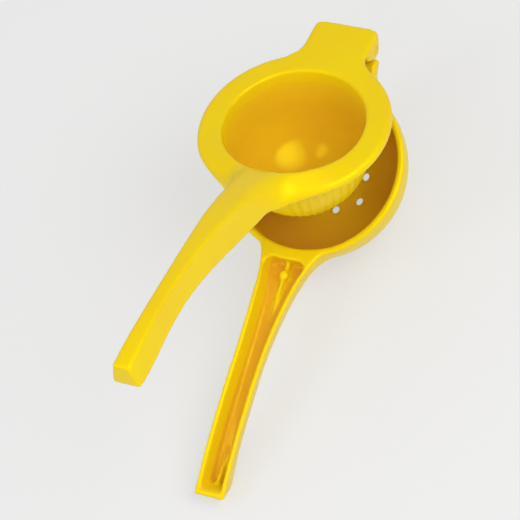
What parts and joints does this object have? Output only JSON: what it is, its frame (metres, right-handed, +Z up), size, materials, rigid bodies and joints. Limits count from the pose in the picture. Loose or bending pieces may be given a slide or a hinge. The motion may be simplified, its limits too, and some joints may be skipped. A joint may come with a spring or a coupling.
{
  "type": "citrus squeezer",
  "caption": "Hinged hand squeezer for lemons: fluted cup pressed into a bowl with drain holes, both cast with curved channel handles, enamelled yellow, shown held open",
  "frame": {"origin": "Bottom centre of the bounding box, on the table under the squeezer as it lies held open.", "axes": "+X runs along the hinge pin to the right, +Y from the handles' tips to the hinge, +Z up."},
  "size_m": [0.076, 0.1914, 0.1172],
  "materials": {
    "yellow_enamel": "gloss enamel coat on a cast aluminium body",
    "pin_steel": "plain steel, end turned and lightly worn"
  },
  "bodies": {
    "bowl_arm": {"bowl_arm": "yellow_enamel"},
    "press_arm": {"press_arm": "yellow_enamel", "hinge_pin": "pin_steel"}
  },
  "joints": [
    {"name": "hinge", "type": "hinge", "parent": "bowl_arm", "child": "press_arm", "pos_m": [0, 0.08903, 0.05441], "axis": [-1, 0, 0], "range_deg": [-27.8, 92.2]}
  ]
}
